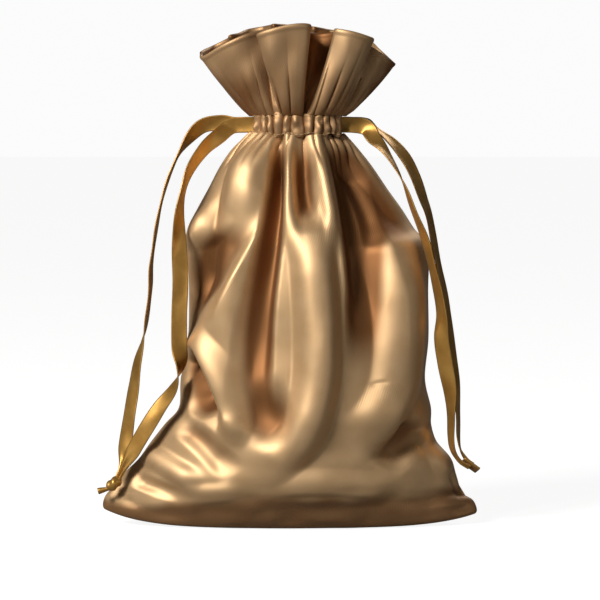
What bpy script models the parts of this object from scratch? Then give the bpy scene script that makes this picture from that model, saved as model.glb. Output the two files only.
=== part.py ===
"""A satin drawstring gift sack: two sewn panels, a gathered drawstring channel, a ruffle and two ribbons.

Units are metres, +Z is up, the front faces -Y. The origin is on the table, at the middle of the sack's base.
"""

import math

import bpy
import numpy as np

MM = 0.001

# Driving dimensions
SACK_WIDTH = 152.4 * MM         # corner to corner along the base, the flat width of the cloth
SACK_HEIGHT = 205.0 * MM        # table to the top of the ruffle
SACK_DEPTH = 66.0 * MM          # front to back, filled
CLOTH = 0.8 * MM                # wall that stands for the satin
LINING = 0.6 * MM               # wall of the channel and of the turned-down cloth
GAP = 0.3 * MM                  # clearance between pieces that touch
RIBBON_WIDTH = 6.35 * MM
RIBBON = 0.5 * MM               # thickness of the ribbon
THREAD = 0.5 * MM               # diameter of a row of stitching

CHANNEL_FOOT = 158.6 * MM       # lower row of channel stitching
CHANNEL_TOP = 167.4 * MM        # upper row of channel stitching
NECK_CENTRE = 3.3 * MM          # the neck stands a little to the right of the base
NECK_HALF_WIDTH = 18.9 * MM
NECK_HALF_DEPTH = 11.5 * MM
RUFFLE_SIDE = 190.0 * MM        # height of the ruffle's edge at its left and right ends
RUFFLE_HALF_WIDTH = 39.5 * MM
RUFFLE_HALF_DEPTH = 22.0 * MM
RUFFLE_SLIT = 1.4 * MM          # half the gap, along Y, between the ruffle's halves at each side

SEAM_ALLOWANCE = 6.0 * MM
SEAM_FOOT = 10.0 * MM           # the side seams run between these heights
SEAM_TOP = 150.0 * MM
SEAM_INSET = 2.5 * MM           # the side seams lie this far inside the cloth's edge
BOTTOM_SEAM_INSET = 18.0 * MM   # the bottom seam stops this far inside each corner
VENT = 4.6 * MM                 # half the opening, along Y, of the side vents the ribbons leave by
MOUTH_LENGTH = 6.0 * MM         # ribbon standing straight out of a vent
MOUTH_APART = 1.4 * MM          # half the distance between a vent's two ribbon stretches

FRONT, BACK = -1, 1
LEFT, RIGHT = -1, 1

# Level of the filled sack: height, centre in X, half width, half depth, and how pointed its two sides are.
# The first three levels lie flat on the table, from the bottom seam out to the turn of the base.
HALF = SACK_WIDTH / 2
DEPTH = SACK_DEPTH / 2
SACK_LEVELS = [
    (0.0, 0.0, HALF - 8.0 * MM, 0.0, 1.6),
    (0.0, 0.0, HALF - 6.6 * MM, 0.40 * DEPTH, 1.6),
    (0.0, 0.0, HALF - 5.0 * MM, 0.56 * DEPTH, 1.6),
    (7.0 * MM, 0.0, HALF, 0.80 * DEPTH, 1.7),
    (19.0 * MM, 0.0, HALF - 6.0 * MM, 0.94 * DEPTH, 1.5),
    (39.5 * MM, 2.6 * MM, HALF - 21.4 * MM, DEPTH, 1.15),
    (52.0 * MM, 6.0 * MM, HALF - 25.7 * MM, DEPTH, 1.0),
    (76.0 * MM, 7.9 * MM, HALF - 27.5 * MM, 0.97 * DEPTH, 1.0),
    (113.0 * MM, 7.3 * MM, HALF - 27.3 * MM, 0.88 * DEPTH, 1.0),
    (129.0 * MM, 3.9 * MM, HALF - 34.8 * MM, 0.74 * DEPTH, 1.0),
    (145.5 * MM, 2.8 * MM, HALF - 44.8 * MM, 0.53 * DEPTH, 1.0),
    (CHANNEL_FOOT - CLOTH - GAP, NECK_CENTRE, NECK_HALF_WIDTH, NECK_HALF_DEPTH, 1.0),
]
FLAT_LEVELS = 3

# Ribbon tails: x, y, z in millimetres, and the turn of the ribbon in degrees about its own line,
# 0 where its face looks to the front and 90 where its edge does.
TAIL_ROUTES = {
    "left_back": [
        (-22.7, 1.4, 163.0, 0), (-28.5, 2.4, 163.8, 8), (-36.5, 3.0, 162.0, 28),
        (-44.0, 3.0, 153.5, 74), (-48.0, 2.0, 145.5, 80), (-52.0, 1.0, 133.5, 76),
        (-54.5, 0.0, 121.0, 75), (-56.5, -1.0, 107.0, 70), (-57.0, -2.0, 96.0, 70),
        (-59.0, -3.0, 80.0, 86), (-62.0, -4.0, 67.0, 120), (-63.5, -5.0, 57.0, 130),
        (-65.0, -6.0, 47.0, 138), (-67.0, -6.8, 34.5, 144), (-67.8, -7.2, 24.0, 150),
    ],
    "left_front": [
        (-23.8, -1.6, 162.4, 0), (-28.5, -4.5, 158.6, 12), (-34.5, -8.0, 153.5, 36),
        (-40.0, -11.5, 145.5, 60), (-43.0, -13.5, 137.0, 72), (-44.5, -15.0, 127.0, 60),
        (-44.5, -16.0, 115.0, 26), (-44.0, -16.5, 100.0, 6), (-44.5, -16.5, 86.0, 0),
        (-44.5, -16.5, 74.0, 8), (-44.0, -16.5, 66.0, 60), (-47.0, -16.0, 57.0, 118),
        (-53.0, -15.0, 48.5, 150), (-58.5, -13.8, 38.0, 160), (-66.4, -11.8, 24.0, 150),
    ],
    "right_back": [
        (30.0, 1.4, 162.8, 0), (34.8, 1.6, 161.0, 70), (41.5, 0.6, 156.0, 58),
        (47.0, -0.6, 149.5, 50), (51.0, -2.2, 141.5, 50), (54.0, -3.8, 133.0, 60),
        (56.5, -5.4, 125.0, 64), (59.5, -7.4, 109.0, 69), (63.0, -8.4, 92.0, 68),
        (65.0, -8.6, 76.0, 62), (67.0, -8.8, 60.0, 60), (68.0, -9.4, 45.0, 74),
        (68.0, -10.4, 35.0, 80), (69.4, -11.0, 30.6, 90), (71.0, -11.0, 28.6, 112),
    ],
    "right_front": [
        (31.0, -1.8, 161.8, 0), (34.0, -5.0, 157.5, 30), (38.5, -8.6, 152.0, 62),
        (44.5, -12.0, 142.0, 88), (49.5, -14.6, 129.0, 106), (54.5, -16.2, 116.0, 114),
        (58.5, -16.6, 100.0, 116), (61.0, -16.4, 87.0, 128), (61.0, -16.0, 77.0, 150),
        (62.5, -15.6, 67.0, 160), (64.5, -14.6, 56.0, 140), (65.0, -13.0, 46.0, 116),
        (65.0, -11.8, 36.0, 110), (66.3, -11.0, 30.6, 112), (69.2, -11.0, 26.6, 114),
    ],
}

# The left ribbon's tails are knotted: centre in millimetres, and the direction its ends leave in, from +X.
KNOT_CENTRE = (-71.4, -9.4, 17.6)
KNOT_HEADING = math.radians(219.5)
KNOT_SIZE = (2.9 * MM, 2.1 * MM, 1.7 * MM)  # half lengths along its ribbons, across them and through them
KNOT_END_LENGTH = 4.2 * MM
# The right ribbon's tails lie together in one flat joined end: where it starts, its direction and its turn.
JOIN_START = (71.1, -11.0, 26.7)
JOIN_HEADING = math.radians(324.5)
JOIN_TURN = 114.0
JOIN_LENGTH = 6.4 * MM


def clear_scene():
    """Removes whatever the file opened with."""
    for obj in list(bpy.data.objects):
        bpy.data.objects.remove(obj, do_unlink=True)


def new_collection(name):
    collection = bpy.data.collections.new(name)
    bpy.context.scene.collection.children.link(collection)
    return collection


def principled(name, colour, roughness, metallic):
    """A plain Principled material."""
    material = bpy.data.materials.new(name)
    material.use_nodes = True
    shader = material.node_tree.nodes["Principled BSDF"]
    shader.inputs["Base Color"].default_value = (*colour, 1.0)
    shader.inputs["Roughness"].default_value = roughness
    shader.inputs["Metallic"].default_value = metallic
    return material


def smooth_through(points, count):
    """count rows along a Catmull-Rom curve through the given rows, evenly spread over its stretches."""
    rows = np.array(points, float)
    padded = np.vstack([2 * rows[0] - rows[1], rows, 2 * rows[-1] - rows[-2]])
    at = np.linspace(0, len(rows) - 1, count)
    span = np.minimum(at.astype(int), len(rows) - 2)
    t = (at - span)[:, None]
    a, b, c, d = (padded[span + k] for k in range(4))
    return 0.5 * (2 * b + (c - a) * t + (2 * a - 5 * b + 4 * c - d) * t**2 + (3 * b - a - 3 * c + d) * t**3)


def sheet_object(name, grid, thickness, side, material, collection):
    """An open surface on a grid of points (rows, columns, 3), given its thickness by Solidify.

    side is 1 to thicken along the faces' normals, -1 against them and 0 to both sides.
    """
    rows, columns = grid.shape[:2]
    index = np.arange(rows * columns).reshape(rows, columns)
    quads = np.stack([index[:-1, :-1], index[:-1, 1:], index[1:, 1:], index[1:, :-1]], axis=-1).reshape(-1, 4)
    mesh = bpy.data.meshes.new(name)
    mesh.from_pydata(grid.reshape(-1, 3).tolist(), [], quads.tolist())
    mesh.shade_smooth()
    mesh.materials.append(material)
    obj = bpy.data.objects.new(name, mesh)
    collection.objects.link(obj)
    solidify = obj.modifiers.new("Thickness", "SOLIDIFY")
    solidify.thickness = thickness
    solidify.offset = side
    return obj


def half_oval(face, centre, half_width, half_depth, count, pointed=1.0, start=0.0):
    """Points round the front or back half of a level, from the left seam to the right one.

    start leaves that much of the depth open at each end, as at a vent.
    """
    first = math.asin(min(1.0, start / half_depth)) if start else 0.0
    angle = np.linspace(first, math.pi - first, count)
    x = centre - half_width * np.cos(angle)
    y = face * (GAP / 2 + half_depth * np.sin(angle) ** pointed)
    return x, y


def facing_out(grid, face):
    """The grid with its columns in the order that turns its faces away from the sack."""
    return grid if face == FRONT else grid[:, ::-1]


def sack_levels(count):
    """The sack's levels with smooth ones between them, measured to the inside of the cloth."""
    flat = np.array(SACK_LEVELS[:FLAT_LEVELS])
    risen = smooth_through(SACK_LEVELS[FLAT_LEVELS - 1:], count)[1:]
    levels = np.vstack([flat, risen])
    levels[:, 0] = np.where(levels[:, 0] < CLOTH, CLOTH, levels[:, 0])
    levels[:, 2] -= CLOTH * np.clip(2 - levels[:, 4], 0, 1)  # a pointed side is thick along Y, not along X
    levels[1:, 3] -= CLOTH
    return levels


def make_panel(name, face, material, collection, columns=25, rows=15):
    """One cloth panel, from the bottom seam under the sack up to the foot of the channel."""
    grid = []
    for z, centre, half_width, half_depth, pointed in sack_levels(rows):
        x, y = half_oval(face, centre, half_width, half_depth, columns, pointed)
        grid.append(np.column_stack([x, y, np.full(columns, z)]))
    return sheet_object(name, facing_out(np.array(grid), face), CLOTH, 1, material, collection)


def neck_band(name, face, inset, thickness, foot, top, start, material, collection, columns=19):
    """A wall of the channel: a half oval band, inset from the neck's outside by the layers outside it."""
    x, y = half_oval(face, NECK_CENTRE, NECK_HALF_WIDTH - inset - thickness,
                     NECK_HALF_DEPTH - inset - thickness, columns, start=start)
    grid = np.array([np.column_stack([x, y, np.full(columns, z)]) for z in (foot, top)])
    return sheet_object(name, facing_out(grid, face), thickness, 1, material, collection)


def ruffle_surface(face, columns=19, rows=6):
    """The surface between the ruffle's two layers of cloth: it flares from the neck to an arched edge."""
    angle = np.linspace(0, math.pi, columns)
    edge = RUFFLE_SIDE + (SACK_HEIGHT - RUFFLE_SIDE) * np.sin(angle)
    foot = CHANNEL_TOP + GAP + LINING
    grid = []
    for share in np.linspace(0, 1, rows):
        flare = math.sin(share * math.pi / 2)
        half_width = NECK_HALF_WIDTH + flare * (RUFFLE_HALF_WIDTH - NECK_HALF_WIDTH) - LINING
        half_depth = NECK_HALF_DEPTH + flare * (RUFFLE_HALF_DEPTH - NECK_HALF_DEPTH) - LINING
        x, y = half_oval(face, NECK_CENTRE, half_width, half_depth, columns, start=RUFFLE_SLIT)
        grid.append(np.column_stack([x, y, foot + share * (edge - foot)]))
    return np.array(grid)


def moved_inward(grid, distance):
    """The grid with every point moved by the distance, square to the surface and towards the neck's axis."""
    normal = np.cross(np.gradient(grid, axis=0), np.gradient(grid, axis=1))
    normal /= np.linalg.norm(normal, axis=2, keepdims=True)
    from_axis = grid - np.array([NECK_CENTRE, 0.0, 0.0])
    outward = np.sign((normal[..., :2] * from_axis[..., :2]).sum(axis=2, keepdims=True))
    return grid - normal * outward * distance


def ruffle_layers(face, label, satin, satin_inside, collection):
    """One half of the ruffle: its outer cloth, and the same cloth turned down inside it."""
    surface = ruffle_surface(face)
    outer = facing_out(surface, face)
    inner = facing_out(moved_inward(surface, GAP), face)
    sheet_object(f"{label}_ruffle", outer, LINING, 1, satin, collection)
    sheet_object(f"{label}_ruffle_facing", inner, LINING, -1, satin_inside, collection)


def thread(name, points, material, collection):
    """A row of stitching as one thin cord through the points."""
    curve = bpy.data.curves.new(name, "CURVE")
    curve.dimensions = "3D"
    curve.bevel_depth = THREAD / 2
    curve.bevel_resolution = 0
    curve.use_fill_caps = True
    spline = curve.splines.new("POLY")
    spline.points.add(len(points) - 1)
    for knot, point in zip(spline.points, points):
        knot.co = (*point, 1.0)
    curve.materials.append(material)
    obj = bpy.data.objects.new(name, curve)
    collection.objects.link(obj)
    return obj


def channel_stitch(name, face, height, material, collection, columns=15):
    """A row of stitching round the outside of one half of the channel."""
    out = GAP + THREAD / 2
    x, y = half_oval(face, NECK_CENTRE, NECK_HALF_WIDTH + out, NECK_HALF_DEPTH + out, columns, start=VENT)
    return thread(name, np.column_stack([x, y, np.full(columns, height)]), material, collection)


def side_seam(name, side, material, thread_material, collection, rows=12):
    """A side's seam allowance, turned inside, and its row of stitching."""
    levels = sack_levels(20)
    levels = levels[(levels[:, 0] > SEAM_FOOT) & (levels[:, 0] < SEAM_TOP)]
    levels = levels[np.linspace(0, len(levels) - 1, rows).round().astype(int)]
    z = levels[:, 0]
    outer = levels[:, 1] + side * (levels[:, 2] - SEAM_INSET)
    inner = outer - side * SEAM_ALLOWANCE
    middle = np.zeros(rows)
    grid = np.stack([np.column_stack([outer, middle, z]), np.column_stack([inner, middle, z])], axis=1)
    sheet_object(f"{name}_side_seam", grid, LINING, 0, material, collection)
    beside = LINING / 2 + GAP + THREAD / 2
    row = np.column_stack([(outer + inner) / 2, np.full(rows, beside), z])
    thread(f"{name}_seam_thread", row, thread_material, collection)


def bottom_seam(material, thread_material, collection):
    """The bottom seam's allowance, standing up inside along the base, and its row of stitching."""
    reach = HALF - BOTTOM_SEAM_INSET
    foot = CLOTH + GAP
    x = np.linspace(-reach, reach, 5)
    middle = np.zeros(len(x))
    grid = np.array([
        np.column_stack([x, middle, np.full(len(x), z)]) for z in (foot, foot + SEAM_ALLOWANCE)
    ])
    sheet_object("bottom_seam", grid, LINING, 0, material, collection)
    beside = LINING / 2 + GAP + THREAD / 2
    row = np.column_stack([x, middle + beside, np.full(len(x), foot + SEAM_ALLOWANCE / 2)])
    thread("bottom_seam_thread", row, thread_material, collection)


def ribbon_loop(name, open_side, inset, material, collection, columns=45):
    """A ribbon's stretch inside the channel: a ring round the neck, open at the side its tails leave by."""
    half_width = NECK_HALF_WIDTH - inset - RIBBON
    half_depth = NECK_HALF_DEPTH - inset - RIBBON
    first = math.asin(VENT / half_depth)
    angle = np.linspace(first, 2 * math.pi - first, columns)
    x = NECK_CENTRE + open_side * half_width * np.cos(angle)
    y = -open_side * half_depth * np.sin(angle)
    foot = (CHANNEL_FOOT + CHANNEL_TOP - RIBBON_WIDTH) / 2
    grid = np.array([np.column_stack([x, y, np.full(columns, z)]) for z in (foot, foot + RIBBON_WIDTH)])
    return sheet_object(name, grid[:, ::-1], RIBBON, 1, material, collection)


def strip(name, points, turns, width, material, collection):
    """A flat ribbon along the points, its width turned about its line by the angles, in degrees."""
    along = np.gradient(points, axis=0)
    along /= np.linalg.norm(along, axis=1, keepdims=True)
    to_back = np.array([0.0, 1.0, 0.0])
    flat = np.cross(along, to_back)
    flat /= np.linalg.norm(flat, axis=1, keepdims=True)
    edge_on = np.cross(flat, along)
    turn = np.radians(turns)[:, None]
    across = (np.cos(turn) * flat + np.sin(turn) * edge_on) * width / 2
    grid = np.stack([points - across, points + across], axis=1)
    return sheet_object(name, grid, RIBBON, 0, material, collection)


def ribbon_mouth(name, side, face, material, collection):
    """The short straight stretch of ribbon that stands out of a vent and leads to a tail."""
    start = NECK_CENTRE + side * (NECK_HALF_WIDTH + GAP)
    y = face * MOUTH_APART
    z = (CHANNEL_FOOT + CHANNEL_TOP) / 2
    points = np.array([(start, y, z), (start + side * MOUTH_LENGTH, y, z)])
    return strip(name, points, np.zeros(2), RIBBON_WIDTH, material, collection)


def ribbon_tail(name, route, material, collection, count=25):
    """One free tail, on a smooth curve through its route."""
    rows = smooth_through(route, count)
    return strip(f"{name}_tail", rows[:, :3] * MM, rows[:, 3], RIBBON_WIDTH, material, collection)


def heading_vector(heading):
    """A direction in the front view, from its angle above +X."""
    return np.array([math.cos(heading), 0.0, math.sin(heading)])


def left_knot(material, collection):
    """The knot that ties the left ribbon's tails, a small solid with its length along them."""
    bpy.ops.mesh.primitive_uv_sphere_add(segments=14, ring_count=8, radius=1.0)
    obj = bpy.context.object
    obj.name = "left_knot"
    obj.data.name = obj.name
    obj.data.materials.append(material)
    obj.data.shade_smooth()
    for owner in list(obj.users_collection):
        owner.objects.unlink(obj)
    collection.objects.link(obj)
    obj.scale = KNOT_SIZE
    bpy.ops.object.transform_apply(location=False, rotation=False, scale=True)
    obj.location = [c * MM for c in KNOT_CENTRE]
    obj.rotation_euler = (0, -KNOT_HEADING, 0)
    return obj


def left_end(material, collection):
    """The short end of the left ribbon that shows beyond its knot."""
    ahead = heading_vector(KNOT_HEADING)
    start = np.array(KNOT_CENTRE) * MM + ahead * (KNOT_SIZE[0] + GAP)
    points = np.array([start + ahead * KNOT_END_LENGTH * share for share in (0.0, 0.5, 1.0)])
    return strip("left_end", points, np.zeros(3), RIBBON_WIDTH * 0.5, material, collection)


def right_joined_end(material, collection):
    """The flat end in which the right ribbon's two tails lie together, two ribbons thick."""
    start = np.array(JOIN_START) * MM
    ahead = heading_vector(JOIN_HEADING)
    points = np.array([start + ahead * JOIN_LENGTH * share for share in (0.0, 0.5, 1.0)])
    obj = strip("right_joined_end", points, np.full(3, JOIN_TURN), RIBBON_WIDTH, material, collection)
    obj.modifiers["Thickness"].thickness = 2 * RIBBON
    return obj


def main():
    clear_scene()
    sack = new_collection("gift_sack")
    satin = principled("satin", (0.42, 0.28, 0.14), 0.38, 0.35)
    satin_inside = principled("satin_inside", (0.33, 0.21, 0.10), 0.55, 0.1)
    ribbon = principled("ribbon", (0.36, 0.21, 0.05), 0.42, 0.2)
    stitching = principled("stitching", (0.40, 0.27, 0.12), 0.7, 0.0)

    second = LINING + GAP            # the right ribbon, next to the channel's outer wall
    third = second + RIBBON + GAP    # the left ribbon, inside it
    fourth = third + RIBBON + GAP    # the channel's facing

    for face, label in ((FRONT, "front"), (BACK, "back")):
        make_panel(f"{label}_panel", face, satin, sack)
        neck_band(f"{label}_channel", face, 0.0, LINING, CHANNEL_FOOT, CHANNEL_TOP, VENT, satin, sack)
        neck_band(f"{label}_channel_facing", face, fourth, LINING, CHANNEL_FOOT + GAP, CHANNEL_TOP, VENT,
                  satin_inside, sack)
        channel_stitch(f"{label}_lower_stitch", face, CHANNEL_FOOT + THREAD, stitching, sack)
        channel_stitch(f"{label}_upper_stitch", face, CHANNEL_TOP - THREAD, stitching, sack)
        ruffle_layers(face, label, satin, satin_inside, sack)

    for side, label in ((LEFT, "left"), (RIGHT, "right")):
        side_seam(label, side, satin_inside, stitching, sack)
        ribbon_mouth(f"{label}_front_mouth", side, FRONT, ribbon, sack)
        ribbon_mouth(f"{label}_back_mouth", side, BACK, ribbon, sack)
    bottom_seam(satin_inside, stitching, sack)
    ribbon_loop("left_ribbon_loop", LEFT, third, ribbon, sack)
    ribbon_loop("right_ribbon_loop", RIGHT, second, ribbon, sack)
    for name, route in TAIL_ROUTES.items():
        ribbon_tail(name, route, ribbon, sack)
    left_knot(ribbon, sack)
    left_end(ribbon, sack)
    right_joined_end(ribbon, sack)


main()
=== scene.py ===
"""Looks of a satin drawstring gift sack: gathered cloth, a ruffle with a turned edge and two satin ribbons.

Lengths in the classes are millimetres, and meshes are in metres. +Z is up and the front faces -Y.
"""

import logging
import math
from dataclasses import dataclass, field, replace
from enum import Enum

import bpy
import numpy as np
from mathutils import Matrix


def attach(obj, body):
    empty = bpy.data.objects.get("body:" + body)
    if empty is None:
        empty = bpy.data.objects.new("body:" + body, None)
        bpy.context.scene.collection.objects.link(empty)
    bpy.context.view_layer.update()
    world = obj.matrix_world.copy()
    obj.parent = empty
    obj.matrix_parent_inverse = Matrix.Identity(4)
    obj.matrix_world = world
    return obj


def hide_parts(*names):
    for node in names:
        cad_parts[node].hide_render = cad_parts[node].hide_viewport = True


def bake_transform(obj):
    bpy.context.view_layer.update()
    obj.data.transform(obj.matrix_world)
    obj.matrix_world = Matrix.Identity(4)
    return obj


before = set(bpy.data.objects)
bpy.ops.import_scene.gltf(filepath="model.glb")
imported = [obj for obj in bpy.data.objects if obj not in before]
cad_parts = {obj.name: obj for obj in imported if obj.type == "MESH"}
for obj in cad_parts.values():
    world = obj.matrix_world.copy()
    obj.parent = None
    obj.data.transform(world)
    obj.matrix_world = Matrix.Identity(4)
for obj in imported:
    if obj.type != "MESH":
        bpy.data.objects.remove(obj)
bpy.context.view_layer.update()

log = logging.getLogger("gift_sack")
MM = 0.001

# The flat cloth of each half: its width, then how much of its height each stretch takes, from the bottom up.
CLOTH_WIDTH = 152.4
PANEL_HEIGHT = 183.6
CHANNEL_HEIGHT = 9.0
RUFFLE_HEIGHT = 36.0

# The neck's oval, and the ribbons where they leave it.
NECK_CENTRE = 3.3
NECK_HALF_WIDTH = 18.9
NECK_HALF_DEPTH = 11.5
RIBBON_LEVEL = 163.0
RIBBON_SPACING = 1.4
RIBBON_WIDTH = 6.35
Y_AXIS = np.array([0.0, 1.0, 0.0])


class Face(Enum):
    """The two halves of the sack, by the sign of Y on their side."""

    FRONT = -1
    BACK = 1

    @property
    def label(self) -> str:
        """The half's name as it stands in piece and node names."""
        return self.name.lower()


class Side(Enum):
    """The two sides that ribbons leave by, by the sign of X."""

    LEFT = -1
    RIGHT = 1

    @property
    def label(self) -> str:
        """The side's name as it stands in piece and node names."""
        return self.name.lower()


class Slot(Enum):
    """The record's material slots that the pieces wear."""

    SATIN = "satin"
    INSIDE = "satin_inside"
    RIBBON = "ribbon"
    STITCHING = "stitching"


# ---------------------------------------------------------------- surfaces


def smooth_through(points: np.ndarray, at: np.ndarray) -> np.ndarray:
    """Rows read along a Catmull-Rom curve through the given rows.

    Between rows b and c, with a before and d after, a row at share t is
    (2b + (c - a)t + (2a - 5b + 4c - d)t^2 + (3b - a - 3c + d)t^3) / 2.

    Args:
        points: The rows to pass through.
        at: Where to read, from 0 at the first row to 1 at the last.

    Returns:
        One row for each entry of at.
    """
    rows = np.asarray(points, float)
    padded = np.vstack([2 * rows[0] - rows[1], rows, 2 * rows[-1] - rows[-2]])
    place = np.clip(at, 0, 1) * (len(rows) - 1)
    span = np.minimum(place.astype(int), len(rows) - 2)
    t = (place - span)[:, None]
    a, b, c, d = (padded[span + k] for k in range(4))
    return 0.5 * (2 * b + (c - a) * t + (2 * a - 5 * b + 4 * c - d) * t**2 + (3 * b - a - 3 * c + d) * t**3)


def smoothstep(value: np.ndarray) -> np.ndarray:
    """0 below 0, 1 above 1, and 3v^2 - 2v^3 between them."""
    v = np.clip(value, 0, 1)
    return v * v * (3 - 2 * v)


def lattice_noise(x: np.ndarray, y: np.ndarray, seed: int) -> np.ndarray:
    """Smooth noise from -1 to 1: random values on a unit lattice, eased between neighbours.

    Args:
        x: First coordinate, in lattice cells.
        y: Second coordinate, in lattice cells.
        seed: Chooses the random values.

    Returns:
        The noise, in the shape of x.
    """
    size = 64
    values = np.random.default_rng(seed).uniform(-1, 1, (size, size))
    i, j = np.floor(x).astype(int), np.floor(y).astype(int)
    s, t = smoothstep(x - i), smoothstep(y - j)
    corner = [values[(i + a) % size, (j + b) % size] for a in (0, 1) for b in (0, 1)]
    return (corner[0] * (1 - s) * (1 - t) + corner[1] * (1 - s) * t
            + corner[2] * s * (1 - t) + corner[3] * s * t)


def grid_normals(grid: np.ndarray) -> np.ndarray:
    """Unit normals of a grid of points: across its rows crossed with along them, (dP/dv) x (dP/du)."""
    normal = np.cross(np.gradient(grid, axis=0), np.gradient(grid, axis=1))
    return normal / np.maximum(np.linalg.norm(normal, axis=2, keepdims=True), 1e-9)


def add_object(name: str, data: bpy.types.ID) -> bpy.types.Object:
    """A new object in the scene, at the origin.

    Args:
        name: The object's name.
        data: Its mesh, lamp or camera.

    Returns:
        The object.
    """
    obj = bpy.data.objects.new(name, data)
    bpy.context.scene.collection.objects.link(obj)
    return obj


def close_skin(name: str, points: np.ndarray, quads: np.ndarray, caps: list[list[int]], places: np.ndarray,
               depth: np.ndarray | None = None) -> bpy.types.Object:
    """A smooth closed skin that looks outwards, with its cloth places as its UV map.

    Args:
        name: The piece's name.
        points: Its vertices, in metres.
        quads: The vertices of each four-sided face.
        caps: Any faces with more sides.
        places: Place on the flat cloth of each vertex, in centimetres.
        depth: How much painted shade each vertex takes, 0 to 1, kept as an attribute for the finish.

    Returns:
        The new object.
    """
    mesh = bpy.data.meshes.new(name)
    mesh.from_pydata(points.tolist(), [], quads.tolist() + caps)
    layer = mesh.uv_layers.new(name="cloth")
    corner = np.empty(len(mesh.loops), int)
    mesh.loops.foreach_get("vertex_index", corner)
    layer.data.foreach_set("uv", places[corner].ravel())
    # the depth attribute carries painted shade for the finish
    if depth is not None:
        mesh.attributes.new("depth", "FLOAT", "POINT").data.foreach_set("value", depth.astype(np.float32))
    mesh.shade_smooth()
    if signed_volume(points, quads) < 0:
        mesh.flip_normals()
    return add_object(name, mesh)


def shell(name: str, grid: np.ndarray, half: np.ndarray, cloth: np.ndarray, face: Face | None = None,
          depth: np.ndarray | None = None) -> bpy.types.Object:
    """A closed skin round a grid of points: P + hN outside, P - hN inside, joined round the rim.

    Args:
        name: The piece's name.
        grid: Points in millimetres, shaped (rows, columns, 3).
        half: Half the thickness at each point, shaped (rows, columns).
        cloth: Place on the flat cloth in millimetres, shaped (rows, columns, 2).
        face: The half whose outside the first skin must look to. None keeps the grid's own direction.
        depth: How much painted shade each point takes, 0 to 1. None is 0 throughout.

    Returns:
        The new object.
    """
    normal = grid_normals(grid)
    if face is not None and (normal[..., 1].mean() * face.value) < 0:
        normal = -normal
    rows, columns = half.shape
    outer = grid + normal * half[..., None]
    inner = grid - normal * half[..., None]
    points = np.concatenate([outer.reshape(-1, 3), inner.reshape(-1, 3)]) * MM
    index = np.arange(rows * columns).reshape(rows, columns)
    below = index + rows * columns
    front = np.stack([index[:-1, :-1], index[:-1, 1:], index[1:, 1:], index[1:, :-1]], -1).reshape(-1, 4)
    back = np.stack([below[:-1, :-1], below[1:, :-1], below[1:, 1:], below[:-1, 1:]], -1).reshape(-1, 4)
    loop = np.concatenate([index[0, :-1], index[:-1, -1], index[-1, :0:-1], index[:0:-1, 0]])
    after = np.roll(loop, -1)
    rim = np.stack([loop, loop + rows * columns, after + rows * columns, after], -1)
    deep = np.zeros(half.shape) if depth is None else depth
    return close_skin(name, points, np.concatenate([front, back, rim]), [],
                      np.tile(cloth.reshape(-1, 2) / 10, (2, 1)), np.tile(deep.ravel(), 2))


def closed_tube(name: str, rings: np.ndarray) -> bpy.types.Object:
    """A closed skin over rings of points, with a flat cap at each end.

    Args:
        name: The piece's name.
        rings: Points in millimetres, shaped (rings, points round, 3), without a repeated last point.

    Returns:
        The new object.
    """
    count, sides = rings.shape[:2]
    index = np.arange(count * sides).reshape(count, sides)
    around = np.roll(index, -1, axis=1)
    quads = np.stack([index[:-1], around[:-1], around[1:], index[1:]], -1).reshape(-1, 4)
    vertex = index.ravel()
    places = np.stack([vertex % sides / sides, vertex // sides / count], -1) * 1.5
    caps = [index[0, ::-1].tolist(), index[-1].tolist()]
    return close_skin(name, rings.reshape(-1, 3) * MM, quads, caps, places)


def signed_volume(points: np.ndarray, quads: np.ndarray) -> float:
    """Volume inside a closed skin, positive where its faces look out: the sum of a . (b x c) / 6."""
    a, b, c, d = (points[quads[:, k]] for k in range(4))
    return float(np.einsum("ij,ij->i", a, np.cross(b, c) + np.cross(c, d)).sum() / 6)


def flat_places(rows: int, columns: int, height: float, up: float = 0.0) -> np.ndarray:
    """Places on the flat cloth for a grid: its width along the columns, height along the rows from up."""
    u, v = np.meshgrid(np.linspace(0, CLOTH_WIDTH, columns), up + np.linspace(0, height, rows))
    return np.stack([u, v], -1)


def across(along: np.ndarray, turn: np.ndarray) -> np.ndarray:
    """The direction across a ribbon: cos(turn) (along x Y) + sin(turn) ((along x Y) x along).

    Args:
        along: Unit directions of its line, shaped (points, 3).
        turn: Its turn about that line, in degrees, shaped (points, 1).

    Returns:
        Unit directions, shaped as along.
    """
    flat = np.cross(along, Y_AXIS)
    flat /= np.linalg.norm(flat, axis=1, keepdims=True)
    return np.cos(np.radians(turn)) * flat + np.sin(np.radians(turn)) * np.cross(flat, along)


def heading_axes(degrees: float) -> tuple[np.ndarray, np.ndarray]:
    """Two directions in the XZ plane: (cos h, sin h) and (-sin h, cos h).

    Args:
        degrees: The heading h.

    Returns:
        The direction ahead, and the one a quarter turn over it.
    """
    heading = math.radians(degrees)
    ahead = np.array([math.cos(heading), 0, math.sin(heading)])
    return ahead, np.array([-ahead[2], 0, ahead[0]])


# ---------------------------------------------------------------- finishes


def add_node(tree: bpy.types.NodeTree, kind: str, inputs: dict[str | int, object]) -> bpy.types.Node:
    """A new shader node with some of its inputs set.

    Args:
        tree: The material's nodes.
        kind: The node's type.
        inputs: Values, by the input's name or number.

    Returns:
        The node.
    """
    made = tree.nodes.new(kind)
    for name, value in inputs.items():
        made.inputs[name].default_value = value
    return made


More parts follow.
